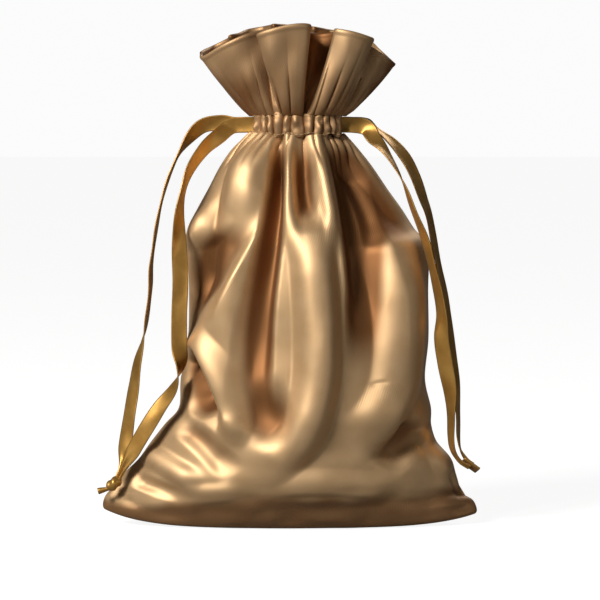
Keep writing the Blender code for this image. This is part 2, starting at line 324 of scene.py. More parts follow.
@dataclass(frozen=True)
class Satin:
    """A satin finish: a light and a deep tone, a fine diagonal weave, a silky gloss, and painted shade by the
    depth attribute.
    """

    name: str
    light: tuple[float, float, float]
    deep: tuple[float, float, float]
    roughness: float
    metallic: float
    twill: float = 1.25       # diagonal weave lines to the millimetre
    weave: float = 0.24       # how strongly the weave stands up
    sheen: float = 0.05
    shade: float = 0.95       # how strongly the painted shade darkens the cloth deep in a fold
    on_uv: bool = True

    def material(self) -> bpy.types.Material:
        """The finish as a node material.

        Returns:
            A Principled material whose pattern follows the flat cloth or, with on_uv off, the piece's place.
        """
        made = bpy.data.materials.new(self.name)
        made.use_nodes = True
        tree = made.node_tree
        shader = tree.nodes["Principled BSDF"]
        shader.inputs["Metallic"].default_value = self.metallic
        shader.inputs["Anisotropic"].default_value = 0.2
        shader.inputs["Sheen Weight"].default_value = self.sheen
        shader.inputs["Sheen Roughness"].default_value = 0.4
        place = tree.nodes.new("ShaderNodeTexCoord")
        source = place.outputs["UV"] if self.on_uv else place.outputs["Object"]
        slub = add_node(tree, "ShaderNodeTexNoise", {"Scale": 1.2 if self.on_uv else 60.0, "Detail": 6.0})
        tree.links.new(source, slub.inputs["Vector"])
        self.colour(tree, slub, shader)
        self.weave_lines(tree, source, shader)
        wear = add_node(tree, "ShaderNodeMapRange",
                        {"To Min": self.roughness - 0.05, "To Max": self.roughness + 0.06})
        tree.links.new(slub.outputs["Fac"], wear.inputs["Value"])
        tree.links.new(wear.outputs["Result"], shader.inputs["Roughness"])
        return made

    def colour(self, tree: bpy.types.NodeTree, slub: bpy.types.Node, shader: bpy.types.Node) -> None:
        """Mixes the two tones by the slubs, and paints shade into the mix by the depth attribute, where the
        cloth lies deep in a fold.

        Args:
            tree: The material's nodes.
            slub: The noise that stands for uneven threads.
            shader: The shader that takes the colour.
        """
        tone = tree.nodes.new("ShaderNodeValToRGB")
        tone.color_ramp.elements[0].position = 0.3
        tone.color_ramp.elements[0].color = (*self.deep, 1)
        tone.color_ramp.elements[1].position = 0.7
        tone.color_ramp.elements[1].color = (*self.light, 1)
        folds = tree.nodes.new("ShaderNodeAttribute")
        folds.attribute_name = "depth"
        shade_amount = add_node(tree, "ShaderNodeMath", {1: self.shade})
        shade_amount.operation = "MULTIPLY"
        # painted shade: a darker, more saturated copy of the deep tone, mixed in by the depth attribute
        painted_shade = tree.nodes.new("ShaderNodeMix")
        painted_shade.data_type = "RGBA"
        painted_shade.inputs["B"].default_value = (self.deep[0] * 0.34, self.deep[1] * 0.2, self.deep[2] * 0.1, 1)
        tree.links.new(slub.outputs["Fac"], tone.inputs["Fac"])
        tree.links.new(folds.outputs["Fac"], shade_amount.inputs[0])
        tree.links.new(shade_amount.outputs["Value"], painted_shade.inputs["Factor"])
        tree.links.new(tone.outputs["Color"], painted_shade.inputs["A"])
        tree.links.new(painted_shade.outputs["Result"], shader.inputs["Base Color"])

    def weave_lines(self, tree: bpy.types.NodeTree, source: bpy.types.NodeSocket,
                    shader: bpy.types.Node) -> None:
        """Raises the fine diagonal lines of the weave.

        Args:
            tree: The material's nodes.
            source: The coordinates that the pattern follows.
            shader: The shader that takes the bump.
        """
        turn = add_node(tree, "ShaderNodeMapping", {"Rotation": (0, 0, math.radians(32))})
        pitch = self.twill * (10 if self.on_uv else 1000) * math.pi / 10
        lines = add_node(tree, "ShaderNodeTexWave", {"Scale": pitch, "Distortion": 0.6})
        bump = add_node(tree, "ShaderNodeBump", {"Strength": self.weave, "Distance": 0.0001})
        tree.links.new(source, turn.inputs["Vector"])
        tree.links.new(turn.outputs["Vector"], lines.inputs["Vector"])
        tree.links.new(lines.outputs["Fac"], bump.inputs["Height"])
        tree.links.new(bump.outputs["Normal"], shader.inputs["Normal"])


LOOKS = {
    Slot.SATIN: Satin("satin", (0.585, 0.395, 0.215), (0.535, 0.35, 0.178), 0.54, 0.74),
    Slot.INSIDE: Satin("satin_inside", (0.34, 0.19, 0.07), (0.26, 0.14, 0.05), 0.50, 0.5),
    Slot.RIBBON: Satin("ribbon", (0.52, 0.295, 0.075), (0.40, 0.21, 0.045), 0.40, 0.78, 2.4, 0.14),
    Slot.STITCHING: Satin("stitching", (0.50, 0.34, 0.17), (0.36, 0.23, 0.10), 0.6, 0.1),
}


@dataclass
class Finishes:
    """The sack's finishes, made at their first use, with versions for pieces that have no cloth places."""

    made: dict[str, bpy.types.Material] = field(default_factory=dict)

    def dress(self, obj: bpy.types.Object, slot: Slot) -> None:
        """Gives a piece the finish of one of the record's material slots.

        Args:
            obj: The piece.
            slot: The slot.
        """
        look = LOOKS[slot]
        if not obj.data.uv_layers:
            look = replace(look, name=f"{slot.value}_in_space", on_uv=False)
        if look.name not in self.made:
            self.made[look.name] = look.material()
        obj.data.materials.clear()
        obj.data.materials.append(self.made[look.name])


# ---------------------------------------------------------------- the cloth's folds


@dataclass(frozen=True)
class Fold:
    """One fold: a line over the panel, how far it stands out, and how wide it is on each side.

    Its lift is height * p * ends, where p falls from 1 on the line to 0 at the half width:
    p = 1 - (sqrt(r^2 + s^2) - s) / (sqrt(1 + s^2) - s), with r the distance over the half width.
    """

    path: tuple[tuple[float, float], ...]
    height: float
    left: float
    right: float
    spread: float = 1.0
    crest: float = 0.25
    head: float = 0.12
    foot: float = 0.25

    def lift(self, x: np.ndarray, z: np.ndarray) -> np.ndarray:
        """How far the fold moves the cloth outwards.

        Args:
            x: Across the panel, in millimetres.
            z: Up the panel, in millimetres.

        Returns:
            The lift in millimetres, in the shape of x.
        """
        count = 80
        line = smooth_through(np.array(self.path), np.linspace(0, 1, count))
        along = np.gradient(line, axis=0)
        spots = np.stack([x.ravel(), z.ravel()], -1)
        near = ((spots[:, None, :] - line[None]) ** 2).sum(-1).argmin(1)
        offset, run = spots - line[near], along[near]
        pace = (run**2).sum(1)
        step = (offset * run).sum(1) / pace
        beyond = np.maximum(np.abs(step) - 0.75, 0) * np.sqrt(pace)
        cross = (run[:, 1] * offset[:, 0] - run[:, 0] * offset[:, 1]) / np.sqrt(pace)
        t = np.clip((near + np.clip(step, -0.75, 0.75)) / (count - 1), 0, 1)
        width = np.where(cross < 0, self.right, self.left) * (1 + (self.spread - 1) * t)
        r = np.hypot(cross, beyond) / width
        s = self.crest
        p = np.clip(1 - (np.sqrt(r * r + s * s) - s) / (math.sqrt(1 + s * s) - s), 0, 1)
        ends = smoothstep(t / max(self.head, 1e-3)) * smoothstep((1 - t) / self.foot)
        return (self.height * (0.45 * p + 0.55 * smoothstep(p)) * ends).reshape(x.shape)


FRONT_FOLDS = (
    # upper left: a slope that ends in a crease, over a slanting hollow
    Fold(((-46, 116), (-38, 119), (-31, 123), (-24, 129)), 3.2, 6, 11, 1.0, 0.6, 0.1, 0.5),
    Fold(((-15, 138), (-21, 123), (-28, 108), (-34, 94), (-38, 80)), -9.0, 14, 9, 1.0, 0.8, 0.4, 0.4),
    # the left rib
    Fold(((-11, 161), (-16, 148), (-20.5, 132), (-25, 112), (-28, 88), (-28.5, 63), (-24, 42)),
         5.6, 7, 9, 1.5, 0.8, 0.02, 0.35),
    # the first valley, sharp on its right
    Fold(((-3.2, 160), (-3.9, 140), (-6, 120), (-9.5, 96), (-12, 72), (-12.5, 52), (-12, 38)),
         -9.0, 3.8, 2.1, 3.8, 0.5, 0.02, 0.62),
    Fold(((-0.8, 160), (-1.4, 145), (-0.6, 128), (1.6, 106)), 3.2, 2.6, 4.2, 1.3, 0.3, 0.02, 0.4),
    # the pocket between the two thin crests of the middle rib
    Fold(((5.4, 160), (5.7, 143), (6.6, 128), (7.6, 118)), -5.6, 4.8, 4.8, 1.2, 0.7, 0.02, 0.6),
    Fold(((9, 160), (12.4, 147), (15.5, 132), (17, 122), (17.5, 108)), 3.0, 3.6, 2.8, 1.2, 0.3, 0.02, 0.4),
    # the middle rib, broad below its crests, sweeping to the lower left
    Fold(((9, 132), (10.4, 110), (11.8, 84), (11.2, 59), (6, 40), (-5, 29), (-16, 24)),
         7.4, 11, 9, 1.0, 0.7, 0.22, 0.42),
    # the second valley
    Fold(((16, 160), (21, 145), (25, 125), (27.5, 104), (28, 80), (26, 56)),
         -8.0, 4.4, 11, 1.7, 0.6, 0.02, 0.45),
    Fold(((19, 120), (22.4, 102), (28, 84)), 1.0, 3, 3, 1.0, 0.3, 0.35, 0.4),
    Fold(((21, 158), (32, 144), (38, 128), (40, 112)), -5.0, 8, 14, 1.0, 0.9, 0.2, 0.35),
    # the right rib, which curls round to the middle low down
    Fold(((42, 118), (46, 97), (46.5, 76), (43, 56), (33.5, 41), (20, 33)), 5.4, 12, 9, 1.1, 0.8, 0.25, 0.35),
    Fold(((31.5, 58.6), (35, 59.7), (39, 60.4)), -0.5, 1.2, 1.2, 1.0, 0.4, 0.35, 0.35),
    # lower left: the hooked crease and its hollow
    Fold(((-43, 80), (-36, 72), (-30, 62), (-26, 52), (-24.6, 43), (-28, 37)),
         4.6, 3.6, 10, 1.0, 0.25, 0.15, 0.25),
    Fold(((-39, 73), (-34.5, 61), (-30, 45)), -10.0, 9, 4.2, 1.1, 0.7, 0.2, 0.3),
    Fold(((-46, 43), (-38, 38), (-29, 30), (-22, 22)), -2.6, 5, 6, 1.2, 0.5, 0.25, 0.35),
    Fold(((-62, 29), (-53, 27), (-43, 22), (-35, 17)), 2.6, 5, 6, 1.0, 0.5, 0.25, 0.35),
    Fold(((-64, 20), (-53, 16), (-40, 12)), -2.0, 4, 4, 1.0, 0.6, 0.2, 0.35),
    # the foot of the belly, folding under
    Fold(((-46, 12), (-32, 13), (-18, 15.5)), 1.3, 3, 7, 1.0, 0.4, 0.3, 0.3),
    Fold(((-10, 16), (10, 17.5), (30, 16), (46, 13)), 1.7, 3, 9, 1.0, 0.35, 0.3, 0.3),
    Fold(((-12, 64), (-9, 52), (-8, 40), (-12, 32)), -3.2, 12, 10, 1.0, 0.9, 0.5, 0.5),
    # lower right
    Fold(((64, 24), (68.5, 15), (70, 7)), -2.8, 2.6, 3.0, 1.0, 0.5, 0.25, 0.3),
    Fold(((-66, 20), (-70, 12), (-72, 6)), -2.0, 2.6, 2.6, 1.0, 0.5, 0.25, 0.3),
    Fold(((51, 46), (45, 35), (36, 24)), -3.6, 8, 8, 1.0, 0.5, 0.25, 0.35),
    Fold(((55, 42), (62, 30), (68, 18)), 2.4, 7, 6, 1.0, 0.5, 0.25, 0.3),
)

BACK_FOLDS = (
    Fold(((-12, 161), (-17, 140), (-27, 116), (-31, 86), (-28, 56)), 5.0, 6, 6, 2.2, 0.4, 0.02, 0.3),
    Fold(((-5, 160), (-8, 140), (-14, 112), (-16, 82), (-15, 52)), -5.2, 3, 3.4, 3.2, 0.3, 0.02, 0.3),
    Fold(((2, 160), (1, 138), (-1, 108), (0, 76), (3, 44)), 5.2, 3, 4, 3.0, 0.35, 0.02, 0.3),
    Fold(((8, 160), (11, 140), (15, 112), (16, 78), (14, 46)), -5.2, 3, 3, 3.2, 0.3, 0.02, 0.3),
    Fold(((15, 160), (21, 140), (31, 114), (35, 82), (32, 50), (24, 32)), 5.2, 5, 5, 2.4, 0.4, 0.02, 0.3),
    Fold(((40, 116), (45, 94), (44, 66)), -3.6, 5, 5, 1.2, 0.5, 0.25, 0.3),
    Fold(((-38, 100), (-37, 78), (-33, 58)), -3.4, 5, 4, 1.2, 0.4, 0.25, 0.3),
    Fold(((52, 42), (40, 35), (24, 33)), 2.6, 4, 4, 1.0, 0.3, 0.25, 0.3),
    Fold(((-52, 34), (-38, 30), (-20, 33)), 2.4, 4, 4, 1.0, 0.3, 0.25, 0.3),
    Fold(((60, 24), (46, 19), (28, 20)), -2.0, 3, 4, 1.0, 0.3, 0.25, 0.3),
)


@dataclass
class Gathers:
    """The fine puckers that the drawstring presses into the neck."""

    centre: float = NECK_CENTRE
    half_width: float = NECK_HALF_WIDTH
    half_depth: float = NECK_HALF_DEPTH
    count: float = 15.0
    depth: float = 1.7

    def ripple(self, share: np.ndarray, face: Face) -> np.ndarray:
        """The puckers round one half of the neck: |sin(pi n w)|^0.6, with w the share, warped so they differ.

        Args:
            share: 0 at the left side, 1 at the right.
            face: The half.

        Returns:
            The lift, in millimetres, about half of it inwards.
        """
        shift = 0.4 if face is Face.FRONT else 2.1
        warped = share + 0.011 * np.sin(17 * share + shift) + 0.007 * np.sin(41 * share + 2 * shift)
        tall = 0.78 + 0.22 * np.sin(23 * share + shift)
        return self.depth * tall * (np.abs(np.sin(math.pi * self.count * warped)) ** 0.6 - 0.55)

    def ring(self, share: np.ndarray, face: Face, out: np.ndarray) -> np.ndarray:
        """Points on the neck's oval, pushed out by a distance.

        Args:
            share: 0 at the left side, 1 at the right.
            face: The half.
            out: Distance outwards, in millimetres.

        Returns:
            x and y, stacked last.
        """
        angle = math.pi * share
        x = self.centre - (self.half_width + out) * np.cos(angle)
        y = face.value * (self.half_depth + out) * np.sin(angle)
        return np.stack([x, y], -1)


# ---------------------------------------------------------------- the sack's body


@dataclass
class Body:
    """The filled part of the sack: two panels sewn at the sides and the bottom."""

    gathers: Gathers
    thickness: float = 0.45
    corner_lift: tuple[float, float] = (5.6, 3.8)
    columns: int = 200
    rows: int = 230
    # Height, left edge, right edge, half depth, and how pointed the sides are.
    levels: tuple[tuple[float, ...], ...] = (
        (0.6, -71.5, 71.5, 0.3, 1.60), (0.5, -74.0, 73.8, 12.0, 1.60), (0.7, -75.6, 75.6, 18.5, 1.60),
        (2.4, -76.3, 76.2, 21.2, 1.60), (7.0, -75.4, 74.4, 24.6, 1.65), (11.0, -73.9, 70.0, 27.4, 1.65),
        (16.0, -71.5, 68.9, 30.0, 1.60), (21.0, -67.6, 67.6, 31.6, 1.50), (27.0, -61.5, 65.4, 32.4, 1.40),
        (34.0, -56.5, 59.5, 32.9, 1.28), (41.0, -51.0, 57.5, 33.0, 1.12), (48.0, -45.2, 57.4, 33.0, 1.04),
        (60.0, -44.4, 55.0, 32.6, 1.0), (76.0, -41.4, 56.4, 32.0, 1.0), (95.0, -41.2, 56.2, 31.0, 1.0),
        (113.0, -41.8, 56.0, 29.0, 1.0), (121.0, -41.0, 50.5, 27.0, 1.0), (129.0, -37.5, 45.4, 24.0, 1.0),
        (137.0, -33.2, 39.6, 21.0, 1.0), (146.0, -28.4, 33.4, 17.2, 1.0), (153.5, -22.6, 27.2, 13.6, 1.0),
        (159.2, -15.6, 22.2, 11.5, 1.0),
    )

    def section(self, face: Face) -> tuple[np.ndarray, np.ndarray, np.ndarray, np.ndarray]:
        """The panel before its folds: an oval at each level, x = m - w cos(pi u), y = f d sin(pi u)^p.

        Args:
            face: The half.

        Returns:
            The points, shaped (rows, columns, 3), the shares u, the middles m and the half widths w.
        """
        dense = smooth_through(np.array(self.levels), np.linspace(0, 1, 1200))
        step = np.hypot(np.diff(dense[:, 0]), np.diff(dense[:, 3]))
        length = np.concatenate([[0], np.cumsum(step)])
        wanted = np.linspace(0, length[-1], self.rows)
        z, left, right, depth, point = (np.interp(wanted, length, dense[:, k])[:, None] for k in range(5))
        share = np.linspace(0, 1, self.columns)[None, :]
        middle, half = (left + right) / 2, (right - left) / 2
        x = middle - half * np.cos(math.pi * share)
        y = face.value * (0.12 + depth * np.sin(math.pi * share) ** point)
        return np.stack([x, y, np.broadcast_to(z, x.shape)], -1), share, middle, half

    def lift(self, face: Face, x: np.ndarray, height: np.ndarray, share: np.ndarray,
             half: np.ndarray) -> np.ndarray:
        """How far the cloth moves outwards: folds and unevenness, a crumpled foot, puckers and seams.

        Args:
            face: The half.
            x: Across the panel.
            height: Up the panel.
            share: Each column's share of the way across.
            half: Each row's half width.

        Returns:
            The lift, in the shape of x.
        """
        folds = FRONT_FOLDS if face is Face.FRONT else BACK_FOLDS
        lift = sum(fold.lift(x, height) for fold in folds)
        lift = lift + 0.9 * lattice_noise(x / 17 + 9, height / 34 + 5, 3 + face.value)
        lift = lift + 0.28 * lattice_noise(x / 7 + 3, height / 15 + 2, 8 + face.value)
        crumple = lattice_noise(x / 8 + 13, height / 4.5 + 4, 17 + face.value)
        crumple = 0.75 * crumple * smoothstep(height / 4) * (1 - smoothstep((height - 13) / 8))
        near_base = smoothstep((height - 3) / 16)
        near_side = smoothstep(np.sin(math.pi * share) / 0.45)
        near_neck = smoothstep((height - 143) / 14)
        lift = lift * near_base * near_side * (1 - 0.75 * near_neck) + crumple * near_side
        ripple = self.gathers.ripple(np.broadcast_to(share, x.shape), face)
        lift = lift + ripple * smoothstep((height - 140) / 17) ** 1.4
        seam = np.minimum(share, 1 - share) * math.pi * half * 0.6
        return lift - 0.6 * np.exp(-((seam / 1.4) ** 2)) * smoothstep((height - 14) / 20)

    def depth(self, x: np.ndarray, height: np.ndarray, lift: np.ndarray) -> np.ndarray:
        """Painted shade, 0 to 1: where the cloth is sunk in a fold, and in an uneven band along the floor
        where it turns under.

        Args:
            x: Across the panel.
            height: Up the panel.
            lift: How far the cloth is moved outwards.

        Returns:
            The painted shade, in the shape of x.
        """
        # painted shade in the hollows of the folds
        painted_shade = smoothstep((-lift + 0.3) / 4.2) * smoothstep((height - 20) / 20)
        # painted shade along the floor where the cloth turns under, reaching higher on the right
        turn = height + 2.4 * lattice_noise(x / 26 + 7, height / 40, 31)
        turn = turn + 1.5 * lattice_noise(x / 8, height / 9, 37)
        floor_shade_top = 4 + 8 * smoothstep((x + 65) / 70)
        return np.maximum(painted_shade, 0.75 * (1 - smoothstep((turn - floor_shade_top) / 5)))

    def panel(self, face: Face) -> tuple[np.ndarray, np.ndarray, np.ndarray]:
        """One panel's surface: its section moved along its normals by the lift, with its corners raised.

        Args:
            face: The half.

        Returns:
            The points, shaped (rows, columns, 3), the cloth places, shaped (rows, columns, 2), and the
            painted shade.
        """
        grid, share, middle, half = self.section(face)
        x, height = grid[..., 0], grid[..., 2]
        normal = grid_normals(grid)
        if normal[..., 1].mean() * face.value < 0:
            normal = -normal
        lift = self.lift(face, x, height, share, half)
        # painted shade, from how far the folds sink the cloth
        deep = self.depth(x, height, lift)
        corner = np.abs(np.cos(math.pi * share)) ** 5
        raised = np.where(x < middle, self.corner_lift[0], self.corner_lift[1])
        moved = grid + normal * lift[..., None]
        moved[..., 2] += raised * corner * (1 - smoothstep((height - 2) / 16))
        moved[..., 2] = np.maximum(moved[..., 2], self.thickness / 2 + 0.02)
        return moved, flat_places(self.rows, self.columns, PANEL_HEIGHT), deep

    def build(self, face: Face, finishes: Finishes) -> bpy.types.Object:
        """Makes one panel and hides the node that it stands for.

        Args:
            face: The half.
            finishes: The sack's finishes.

        Returns:
            The panel.
        """
        grid, cloth, deep = self.panel(face)
        half = np.full(grid.shape[:2], self.thickness / 2)
        obj = shell(f"{face.label}_panel_cloth", grid, half, cloth, face, deep)
        finishes.dress(obj, Slot.SATIN)
        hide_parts(f"{face.label}_panel")
        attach(obj, "sack")
        log.info("%s panel: %d faces", face.label, len(obj.data.polygons))
        return obj


# ---------------------------------------------------------------- the channel


@dataclass
class Channel:
    """The drawstring channel: a puckered outer wall, an inner wall, and two rows of stitches on each half."""

    gathers: Gathers
    foot: float = 158.6
    top: float = 167.6
    wall: float = 0.4
    swell: float = 0.6
    crumple: float = 1.25      # the channel's puckers against those of the cloth beside it
    slant: float = 0.02        # how far the puckers lean, as a share of the half
    inner_offset: float = -2.9
    vent: float = 0.128        # share of each half, at either end, that its vents take up
    stitch_length: float = 1.7
    stitch_gap: float = 0.5
    stitch_radius: float = 0.19
    columns: int = 420
    rows: int = 24

    def wall_grid(self, face: Face, offset: float, swell: float) -> tuple[np.ndarray, np.ndarray]:
        """A wall of the channel: the neck's oval plus leaning puckers, swelling by sin(pi v)^0.7.

        Args:
            face: The half.
            offset: Distance outwards from the neck's oval.
            swell: How far it bulges between the stitch rows.

        Returns:
            The points and the cloth places.
        """
        share = np.linspace(self.vent, 1 - self.vent, self.columns)[None, :]
        v = np.linspace(0, 1, self.rows)[:, None]
        slant = share + self.slant * (v - 0.5) * np.sin(29 * share + face.value)
        out = offset + swell * np.sin(math.pi * v) ** 0.7 + self.crumple * self.gathers.ripple(slant, face)
        out = out + 0.8 * lattice_noise(share * 31 + 5, v * 3 + 2, 51 + face.value) * np.sin(math.pi * v)
        flat = self.gathers.ring(np.broadcast_to(share, out.shape), face, out)
        wave = 0.8 * np.sin(41 * share + 0.5 * face.value) * (np.abs(2 * v - 1) ** 3) * np.sign(2 * v - 1)
        z = self.foot + (self.top - self.foot) * v + wave
        places = flat_places(self.rows, self.columns, CHANNEL_HEIGHT, PANEL_HEIGHT)
        return np.concatenate([flat, z[..., None]], -1), places

    def stitch_rings(self, face: Face, v: float) -> np.ndarray:
        """Rings of points round each stitch of a row, which lies on the outer wall.

        A stitch is a six-sided tube with pointed ends: radius r sqrt(1 - (2s - 1)^4) at share s of it.

        Args:
            face: The half.
            v: Height within the channel, 0 at its foot and 1 at its top.

        Returns:
            Points in millimetres, shaped (stitches, rings, sides, 3).
        """
        grid, _ = self.wall_grid(face, 0.0, self.swell)
        level = round(v * (self.rows - 1))
        outward = grid_normals(grid)[level]
        outward = outward * np.sign((outward[:, 1] * face.value).mean())
        row = grid[level] + outward * (self.wall / 2 + self.stitch_radius * 0.6)
        run = np.concatenate([[0], np.cumsum(np.linalg.norm(np.diff(row, axis=0), axis=1))])
        starts = np.arange(0.6, run[-1] - self.stitch_length, self.stitch_length + self.stitch_gap)
        s = np.linspace(0, 1, 7)
        at = starts[:, None] + s[None, :] * self.stitch_length
        centre = np.stack([np.interp(at, run, row[:, k]) for k in range(3)], -1)
        along = np.gradient(centre, axis=1)
        along /= np.linalg.norm(along, axis=2, keepdims=True)
        side = np.cross(along, np.array([0.0, 0.0, 1.0]))
        side /= np.linalg.norm(side, axis=2, keepdims=True)
        other = np.cross(side, along)
        radius = self.stitch_radius * np.maximum(1 - (2 * s - 1) ** 4, 0.03) ** 0.5
        angle = np.arange(6) * math.pi / 3
        ring = np.cos(angle)[:, None] * side[:, :, None, :] + np.sin(angle)[:, None] * other[:, :, None, :]
        return centre[:, :, None, :] + ring * radius[None, :, None, None]

    def stitches(self, face: Face, v: float, name: str, finishes: Finishes) -> bpy.types.Object:
        """A row of separate stitches, each its rings joined by quads and closed by a cap at either end.

        Args:
            face: The half.
            v: Height within the channel, 0 at its foot and 1 at its top.
            name: The node that the row stands for.
            finishes: The sack's finishes.

        Returns:
            The row as one object.
        """
        points = self.stitch_rings(face, v)
        index = np.arange(points[..., 0].size).reshape(points.shape[:3])
        around = np.roll(index, -1, axis=2)
        quads = np.stack([index[:, :-1], around[:, :-1], around[:, 1:], index[:, 1:]], -1).reshape(-1, 4)
        faces = quads.tolist() + index[:, 0, ::-1].tolist() + index[:, -1, :].tolist()
        mesh = bpy.data.meshes.new(name)
        mesh.from_pydata((points.reshape(-1, 3) * MM).tolist(), [], faces)
        mesh.shade_smooth()
        obj = add_object(f"{name}_row", mesh)
        finishes.dress(obj, Slot.STITCHING)
        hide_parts(name)
        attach(obj, "sack")
        return obj

    def build(self, face: Face, finishes: Finishes) -> list[bpy.types.Object]:
        """Makes one half of the channel.

        Args:
            face: The half.
            finishes: The sack's finishes.

        Returns:
            Its outer wall, inner wall and two rows of stitches.
        """
        made = []
        for part, offset, swell, slot in (("channel", 0.0, self.swell, Slot.SATIN),
                                          ("channel_facing", self.inner_offset, 0.0, Slot.INSIDE)):
            grid, cloth = self.wall_grid(face, offset, swell)
            share = np.linspace(self.vent, 1 - self.vent, self.columns)
            # painted shade: the whole channel half darker, and darker still in the hollows between the
            # puckers
            pucker_shade = smoothstep(0.42 - self.gathers.ripple(share, face) / self.gathers.depth)
            deep = np.broadcast_to(0.5 + 0.5 * pucker_shade[None, :], grid.shape[:2])
            half = np.full(grid.shape[:2], self.wall / 2)
            obj = shell(f"{face.label}_{part}_cloth", grid, half, cloth, face, deep)
            finishes.dress(obj, slot)
            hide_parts(f"{face.label}_{part}")
            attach(obj, "sack")
            made.append(obj)
        made.append(self.stitches(face, 0.08, f"{face.label}_lower_stitch", finishes))
        made.append(self.stitches(face, 0.92, f"{face.label}_upper_stitch", finishes))
        log.info("%s channel: walls and two rows of stitches", face.label)
        return made


# ---------------------------------------------------------------- the ruffle


@dataclass
class Ruffle:
    """The ruffle above the channel: cloth turned down inside itself, in a few deep overlapping lobes.

    Each row of an edge is x, y, z of the turned edge and the x at the neck that the cloth rises from.
    """

    gathers: Gathers
    foot: float = 166.7
    layer: float = 0.38
    roll: float = 0.62
    pleat_growth: float = 3.0  # how much deeper the fine pleats grow just above the channel
    columns: int = 420
    rows: int = 76
    front_edge: tuple[tuple[float, ...], ...] = (
        (-36.4, -0.4, 192.6, -15.6), (-35.4, -6.0, 190.6, -15.0), (-27.0, -13.0, 195.2, -12.6),
        (-18.6, -14.8, 199.0, -9.2), (-11.4, -11.8, 201.0, -6.6), (-5.0, -8.6, 201.6, -4.6),
        (-2.6, -10.4, 201.6, -3.6), (-8.6, -14.4, 200.8, -3.4), (-13.0, -18.6, 199.4, -3.0),
        (-9.0, -21.6, 200.9, -1.8), (-2.0, -22.6, 202.6, 0.3), (4.1, -22.0, 203.4, 2.3),
        (8.1, -19.0, 203.2, 4.1), (7.4, -12.0, 202.2, 4.8), (6.4, -5.6, 201.0, 5.2),
        (9.8, -1.6, 200.2, 5.8), (14.6, -2.0, 200.2, 6.7), (19.2, -6.4, 200.9, 7.4),
        (18.4, -13.6, 201.4, 7.9), (19.2, -18.4, 201.4, 9.2), (25.3, -19.6, 200.3, 12.5),
        (31.0, -17.0, 198.7, 16.0), (33.6, -12.6, 197.6, 18.3), (29.6, -8.4, 197.2, 19.3),
        (31.0, -6.0, 196.0, 20.0), (37.2, -6.6, 191.9, 21.2), (42.8, -0.4, 187.9, 22.2),
    )
    back_edge: tuple[tuple[float, ...], ...] = (
        (-36.4, 0.4, 192.6, -15.6), (-35.0, 7.0, 193.8, -15.2), (-31.5, 14.0, 195.6, -14.2),
        (-25.4, 12.0, 198.6, -12.2), (-24.6, 6.0, 199.6, -10.9), (-21.0, 10.0, 200.6, -9.6),
        (-17.5, 19.5, 202.4, -8.0), (-11.0, 20.0, 203.6, -5.4), (-8.0, 13.0, 204.0, -3.6),
        (-6.6, 7.0, 204.2, -2.2), (-3.6, 13.0, 204.3, -0.8), (-0.6, 20.5, 204.3, 0.6),
        (5.4, 20.5, 203.6, 3.0), (8.0, 13.0, 203.3, 4.8), (10.0, 8.5, 203.1, 6.2),
        (13.0, 14.0, 202.8, 8.0), (16.4, 19.5, 202.3, 10.0), (22.5, 17.0, 201.3, 13.4),
        (23.6, 9.0, 201.0, 15.0), (28.0, 14.5, 199.4, 17.0), (33.6, 12.5, 197.0, 19.6),
        (36.5, 6.0, 194.0, 21.2), (42.8, 0.4, 187.9, 22.2),
    )

    def surface(self, face: Face) -> tuple[np.ndarray, np.ndarray, np.ndarray, np.ndarray]:
        """One half of the ruffle: lines ruled from the puckered neck to the turned edge.

        A point at share v of the way up is (1 - v) foot + v edge, plus a belly of sin(pi v) outwards. The
        neck's puckers grow by up to pleat_growth just above the channel, and are gone near the edge.

        Args:
            face: The half.

        Returns:
            The points, the cloth places, half the thickness, and the painted shade.
        """
        edge = np.array(self.front_edge if face is Face.FRONT else self.back_edge)
        line = smooth_through(edge, np.linspace(0, 1, self.columns))
        # rows crowd towards the turned edge, where the cloth rolls over
        v = (1 - (1 - np.linspace(0, 1, self.rows)) ** 1.5)[:, None]
        neck = np.clip((self.gathers.centre - line[:, 3]) / self.gathers.half_width, -1, 1)
        share = np.arccos(neck)[None, :] / math.pi
        fine = self.gathers.ripple(np.broadcast_to(share, (self.rows, self.columns)), face)
        uneven = lattice_noise(share * 9 + 2, v * 2.5 + 1, 61 + face.value) * smoothstep(v / 0.12)
        fine = fine * (1 + 0.6 * uneven)
        swell = self.pleat_growth * smoothstep(v / 0.12) * (1 - smoothstep((v - 0.12) / 0.5))
        ripple = fine + 2 * swell * np.minimum(fine, 0.1)
        root = self.gathers.ring(np.broadcast_to(share, ripple.shape), face, ripple)
        rise = v**0.62
        belly = 0.8 * np.sin(math.pi * v)
        sine = np.sin(math.pi * share)
        x = root[..., 0] * (1 - v) + line[None, :, 0] * v
        x = x - 1.4 * np.sin(math.pi * v) * np.cos(math.pi * share)
        y = root[..., 1] * (1 - rise) + line[None, :, 1] * rise + face.value * belly * sine
        z = self.foot + (line[None, :, 2] - self.foot) * v
        soft = lattice_noise(x / 8 + 4, z / 15 + 2, 21 + face.value) * 1.3 * np.sin(math.pi * v) ** 0.7
        grid = np.stack([x, y + soft, z], -1)
        reach = (11.5 * (1 - v) + 21.0 * v) * np.maximum(sine, 0.02) ** 0.7
        # painted shade where the cloth lies tucked in, close to the middle of the sack
        deep = 1 - smoothstep((np.abs(grid[..., 1]) / reach - 0.3) / 0.5)
        # painted shade, darker on the left than on the right and towards the channel, made uneven by noise
        tone = 0.5 - 0.26 * smoothstep((x + 14) / 34)
        tone = tone + 0.22 * lattice_noise(x / 9 + 3, z / 11, 71 + face.value)
        deep = np.maximum(deep, tone + 0.36 * (1 - v))
